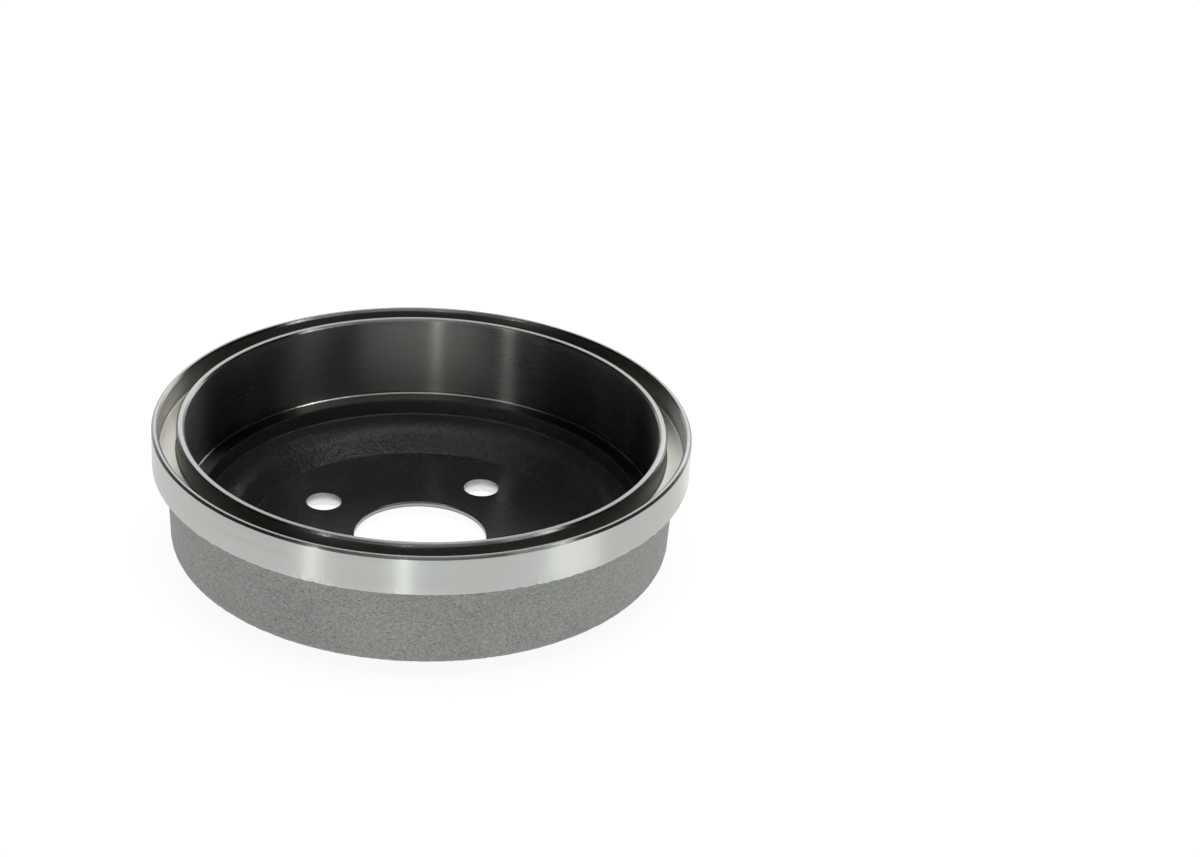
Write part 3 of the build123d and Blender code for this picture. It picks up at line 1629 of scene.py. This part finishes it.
        # The lower face and the wall between its two levels
        upper_ring = number[:, step_row] + count
        lower_ring = 3 * count + np.arange(self.columns)
        swap = np.full(2 * count, -1)
        swap[upper_ring] = lower_ring
        under = top[:, ::-1] + count
        on_step = (row[keep] == step_row)[:, None] & (swap[under] >= 0)
        under = np.where(on_step, swap[under], under)
        relief_wall = np.stack(
            (upper_ring, lower_ring, lower_ring[turned], upper_ring[turned]), axis=-1
        )

        # The edges that have a wall below them, in the holes and elsewhere
        edges = np.stack((top, np.roll(top, -1, axis=1)), axis=-1).reshape(-1, 2)
        keys = np.sort(edges, axis=1)
        keys = keys[:, 0].astype(np.int64) * count + keys[:, 1]
        _, first, uses = np.unique(keys, return_index=True, return_counts=True)
        lone = edges[first[uses == 1]]
        drilled = inside_any.ravel()[lone].all(axis=1)

        def strip(edge: np.ndarray, start: int, end: int) -> np.ndarray:
            """Return the faces from each edge's points + start down to its points + end."""
            a, b = edge[:, 0], edge[:, 1]
            return np.stack((b + start, a + start, a + end, b + end), axis=-1)

        return [
            (top, Zone.COATING),
            (under, Zone.FACE),
            (relief_wall, Zone.FACE),
            (strip(lone[~drilled], 0, count), Zone.BORE),
            (strip(lone[drilled], 0, 2 * count), Zone.HOLE),
            (strip(lone[drilled], 2 * count, count), Zone.FACE),
        ]

    @staticmethod
    def unrolled(points: np.ndarray, quads: np.ndarray) -> np.ndarray:
        """Return the (along, across) place of each face corner.

        Along is the share of a turn round the axis, kept whole over the seam. Across is the
        distance from the axis less the height, in metres.

        Args:
            points: Points in millimetres, (n, 3).
            quads: Four point numbers for each face, (m, 4).

        Returns:
            The places, (4m, 2).
        """
        turn = np.arctan2(points[:, 1], points[:, 0]) / FULL_TURN % 1.0
        along = turn[quads]
        along = np.where(along.max(axis=1, keepdims=True) - along > 0.5, along + 1.0, along)
        across = np.linalg.norm(points[:, :2], axis=1)[quads] - points[quads, 2]
        return np.stack((along, across * MILLIMETRE), axis=-1).reshape(-1, 2)

    def build(self, finishes: dict[Zone, bpy.types.Material]) -> bpy.types.Object:
        """Build the plate with its finishes and settle it on its body.

        Args:
            finishes: Material of each finish.

        Returns:
            The plate.
        """
        s = self.sizes
        ring = np.linspace(s.bore, s.web_edge - self.overlap, self.rows)
        step_row = int(np.abs(ring - s.relief).argmin())
        ring[step_row] = s.relief
        flat, spread, inside_any = self.drilled_grid(ring)
        parts = self.faces(inside_any, step_row)
        used = list(dict.fromkeys(zone for _, zone in parts))
        finish_of = np.concatenate([np.full(len(f), used.index(zone)) for f, zone in parts])
        kept, quads = np.unique(
            np.concatenate([faces for faces, _ in parts]), return_inverse=True
        )
        points, quads = self.points(flat, spread, step_row)[kept], quads.reshape(-1, 4)
        materials = [finishes[zone] for zone in used]
        corner_uv = self.unrolled(points, quads)
        piece = make_mesh(self.name, points, quads, materials, finish_of, corner_uv)
        log.info("%s: %d faces", self.name, len(quads))
        return settle(piece)


# --------------------------------------------------------------------------- studio


def direction(bearing: float, rise: float) -> Vector:
    """Return (cos rise cos bearing, cos rise sin bearing, sin rise).

    Args:
        bearing: Degrees round the drum from +X.
        rise: Degrees above the floor.

    Returns:
        The unit vector.
    """
    turn, lift = math.radians(bearing), math.radians(rise)
    level = math.cos(lift)
    return Vector((level * math.cos(turn), level * math.sin(turn), math.sin(lift)))


@dataclass(frozen=True)
class Softbox:
    """A flat lamp aimed at the drum.

    Attributes:
        name: The lamp's name.
        turn: Degrees round the drum from the camera's side, anticlockwise from above.
        rise: Degrees above the floor.
        away: Distance from the drum, in metres.
        wide: Width, in metres.
        tall: Height, in metres.
        glow: Radiance, where 1 is white.
        mirrored: Whether bare metal and gloss show it.
    """

    name: str
    turn: float
    rise: float
    away: float
    wide: float
    tall: float
    glow: float
    mirrored: bool = True

    def build(self, facing: float, aim: Vector) -> bpy.types.Object:
        """Hang the lamp.

        Its power is radiance x pi x area, and it looks at the aim.

        Args:
            facing: The camera's bearing round the drum, in degrees.
            aim: The point that the lamp looks at, in metres.

        Returns:
            The lamp.
        """
        lamp = bpy.data.lights.new(self.name, "AREA")
        lamp.shape = "RECTANGLE"
        lamp.size, lamp.size_y = self.wide, self.tall
        lamp.energy = self.glow * math.pi * self.wide * self.tall
        out = direction(facing + self.turn, self.rise)
        holder = link_to_scene(self.name, lamp)
        holder.location = aim + out * self.away
        holder.rotation_euler = out.to_track_quat("Z", "Y").to_euler()
        holder.visible_camera = False
        holder.visible_glossy = self.mirrored
        return holder


@dataclass
class Studio:
    """A white floor, a surround of pale sweep and dark ceiling, and the softboxes.

    Attributes:
        facing: The camera's bearing round the drum, in degrees.
        aim: The point that the lamps look at, in metres.
        floor_radius: Radius of the floor's first and last circle, in metres.
        floor_grid: Circles and spokes of the floor.
        floor_level: Height of the floor, just under the wheel face, in metres.
        floor_matt: Colour of the floor's matt share.
        floor_glow: Share of the floor that shows as plain white.
        floor_white: Strength of that white, which makes up for the matt share.
        seen_white: Brightness of the surround where the camera looks at it.
        sweep: Brightness of the pale sweep.
        sweep_side: Degrees from straight behind to where the sweep is low and to where it is high.
        sweep_top: Sine of the elevation that the sweep reaches, where low and where high.
        sweep_blur: How far its upper edge fades, as a sine.
        ceiling: Brightness above the sweep.
        glow_turn: Degrees from the camera's side to the glow over it.
        glow_rise: Degrees above the floor to the middle of the glow.
        glow_level: Brightness that the glow adds.
        glow_reach: Degrees from the middle of the glow to its rim and to its full brightness.
        lamps: The softboxes.
    """

    facing: float = FACING
    aim: Vector = field(default_factory=lambda: Vector((0.0, 0.0, 0.03)))
    floor_radius: tuple[float, float] = (0.02, 3.2)
    floor_grid: tuple[int, int] = (24, 96)
    floor_level: float = -0.0004
    floor_matt: Colour = grey(0.9, 0.9, 0.9)
    floor_glow: float = 0.88
    floor_white: float = 1.05
    seen_white: float = 0.995
    sweep: float = 0.92
    sweep_side: tuple[float, float] = (42.0, 32.0)
    sweep_top: tuple[float, float] = (0.10, 0.63)
    sweep_blur: float = 0.16
    ceiling: float = 0.008
    glow_turn: float = -6.0
    glow_rise: float = 58.0
    glow_level: float = 0.30
    glow_reach: tuple[float, float] = (42.0, 12.0)
    lamps: tuple[Softbox, ...] = (
        # Name, turn, rise, distance, width, height and glow
        Softbox("left_strip", -39.0, 27.0, 1.5, 0.05, 0.30, 21.5),
        Softbox("left_low", -38.0, 9.0, 1.5, 0.05, 0.26, 12.0),
        Softbox("front_strip", -2.0, 10.0, 1.5, 0.04, 0.34, 25.0),
        Softbox("right_far", 77.0, 50.0, 1.5, 0.16, 0.26, 9.0),
        Softbox("right_wide", 60.0, 52.0, 1.5, 0.34, 0.30, 1.9),
        Softbox("right_low", 65.0, 0.6, 1.5, 0.60, 0.04, 21.0),
        Softbox("rear_right", 150.0, 24.0, 1.5, 0.50, 0.26, 2.6),
        Softbox("overhead", 90.0, 85.0, 1.6, 0.8, 0.7, 0.75),
        Softbox("fill", 0.0, 88.0, 1.8, 1.6, 1.6, 3.6, mirrored=False),
    )

    def _floor(self) -> bpy.types.Object:
        """Build the round floor: rings of points on circles that grow evenly in the log.

        Returns:
            The floor.
        """
        rings, spokes = self.floor_grid
        radius = np.geomspace(*self.floor_radius, rings)
        angle = np.arange(spokes) * (FULL_TURN / spokes)
        level = np.full((rings, spokes), self.floor_level)
        points = polar(radius[:, None], angle[None], level).reshape(-1, 3)
        points = np.concatenate((points, [[0.0, 0.0, self.floor_level]]))
        ring, spoke = np.meshgrid(np.arange(rings - 1), np.arange(spokes), indexing="ij")
        here, after = ring * spokes + spoke, ring * spokes + (spoke + 1) % spokes
        quads = np.stack((here, here + spokes, after + spokes, after), axis=-1).reshape(-1, 4)
        middle = [(rings * spokes, k, (k + 1) % spokes) for k in range(spokes)]
        mesh = bpy.data.meshes.new("floor")
        mesh.from_pydata(points.tolist(), [], quads.tolist() + middle)
        mesh.update()
        return link_to_scene("floor", mesh)

    def _floor_paint(self) -> bpy.types.Material:
        """Wire the floor's paint: matt white, mostly replaced by plain white where it shows.

        Returns:
            The material.
        """
        material = bpy.data.materials.new("floor_paint")
        material.use_nodes = True
        material.node_tree.nodes.clear()
        shader = Shader(material.node_tree)
        matt = shader.node("ShaderNodeBsdfDiffuse")
        shader.link(self.floor_matt, matt.inputs["Color"])
        white = shader.node("ShaderNodeEmission")
        shader.link(WHITE, white.inputs["Color"])
        shader.link(self.floor_white, white.inputs["Strength"])
        seen = shader.node("ShaderNodeLightPath").outputs
        mirrored = shader.math("MAXIMUM", seen["Is Glossy Ray"], seen["Is Transmission Ray"])
        shown = shader.math("MAXIMUM", seen["Is Camera Ray"], mirrored)
        both = shader.node("ShaderNodeMixShader")
        shader.link(shader.math("MULTIPLY", shown, self.floor_glow), both.inputs[0])
        shader.link(matt.outputs[0], both.inputs[1])
        shader.link(white.outputs[0], both.inputs[2])
        out = shader.node("ShaderNodeOutputMaterial")
        shader.link(both.outputs[0], out.inputs["Surface"])
        return material

    def _surround(self) -> None:
        """Wire the world: plain white where it is looked at, and otherwise sweep and ceiling.

        The sweep's top is a sine that grows from the camera's side to the far side. Above it
        the brightness falls to the ceiling's, and a round glow over the camera is added.
        """
        world = bpy.data.worlds.new("surround")
        bpy.context.scene.world = world
        world.use_nodes = True
        world.node_tree.nodes.clear()
        shader = Shader(world.node_tree)
        place = shader.node("ShaderNodeTexCoord").outputs["Generated"]
        height = shader.towards(place, direction(0.0, 90.0))
        level = shader.math("SQRT", shader.math("SUBTRACT", 1.0, shader.math("POWER", height, 2.0)))
        backwards = shader.towards(place, direction(self.facing + 180.0, 0.0))
        low, high = (math.cos(math.radians(angle)) for angle in self.sweep_side)
        behind = shader.math("DIVIDE", backwards, level)
        top = shader.spread(behind, low, high, *self.sweep_top)
        under = shader.math("DIVIDE", shader.math("SUBTRACT", top, height), self.sweep_blur)
        sweep = shader.spread(under, -0.5, 0.5, self.ceiling, self.sweep)
        middle = shader.towards(place, direction(self.facing + self.glow_turn, self.glow_rise))
        rim, full = (math.cos(math.radians(angle)) for angle in self.glow_reach)
        glow = shader.spread(middle, rim, full, 0.0, self.glow_level)
        seen = shader.node("ShaderNodeLightPath").outputs["Is Camera Ray"]
        plain = shader.math("MULTIPLY", seen, self.seen_white)
        strength = shader.math("MAXIMUM", plain, shader.math("ADD", sweep, glow))
        background = shader.node("ShaderNodeBackground")
        shader.link(WHITE, background.inputs["Color"])
        shader.link(strength, background.inputs["Strength"])
        out = shader.node("ShaderNodeOutputWorld")
        shader.link(background.outputs[0], out.inputs["Surface"])

    def build(self) -> None:
        """Build the floor, the surround and the lamps."""
        floor = self._floor()
        floor.data.materials.append(self._floor_paint())
        self._surround()
        for lamp in self.lamps:
            lamp.build(self.facing, self.aim)
            log.info("lamp %s hung", lamp.name)


@dataclass
class StudioCamera:
    """The camera, at its place round the drum.

    Attributes:
        place: Position in metres.
        bearing: Direction that the view comes from, in degrees round the drum.
        rise: Degrees by which the camera looks down.
        roll: Degrees by which the frame is turned.
        lens: Focal length in millimetres.
        sensor: Width of the sensor in millimetres.
    """

    place: tuple[float, float, float] = (-0.606405, 0.972829, 0.661896)
    bearing: float = FACING
    rise: float = 27.67
    roll: float = 3.26
    lens: float = 91.8
    sensor: float = 36.0

    def build(self) -> bpy.types.Object:
        """Set the camera up.

        Its back points along (cos rise cos bearing, cos rise sin bearing, sin rise), its right
        is level, and both its right and its up then turn about the back by the roll.

        Returns:
            The camera.
        """
        back = direction(self.bearing, self.rise)
        right = Vector((0.0, 0.0, 1.0)).cross(back).normalized()
        up = back.cross(right)
        turn = Matrix.Rotation(math.radians(self.roll), 3, back)
        basis = Matrix((turn @ right, turn @ up, back)).transposed().to_4x4()
        data = bpy.data.cameras.new("studio_camera")
        data.lens, data.sensor_width, data.sensor_fit = self.lens, self.sensor, "HORIZONTAL"
        camera = link_to_scene("studio_camera", data)
        camera.matrix_world = Matrix.Translation(Vector(self.place)) @ basis
        bpy.context.scene.camera = camera
        return camera


def main() -> None:
    """Build the camera, the studio and the drum's pieces, and report each."""
    bpy.context.scene.view_settings.view_transform = "Standard"
    StudioCamera().build()
    Studio().build()
    finishes = build_finishes()
    for part in (TurnedRim(), CastWall(), CastUnderside(), CastRecess(), Web()):
        piece = part.build(finishes)
        log.info("%s settled with %d points", piece.name, len(piece.data.vertices))


if __name__ == "__main__":
    main()
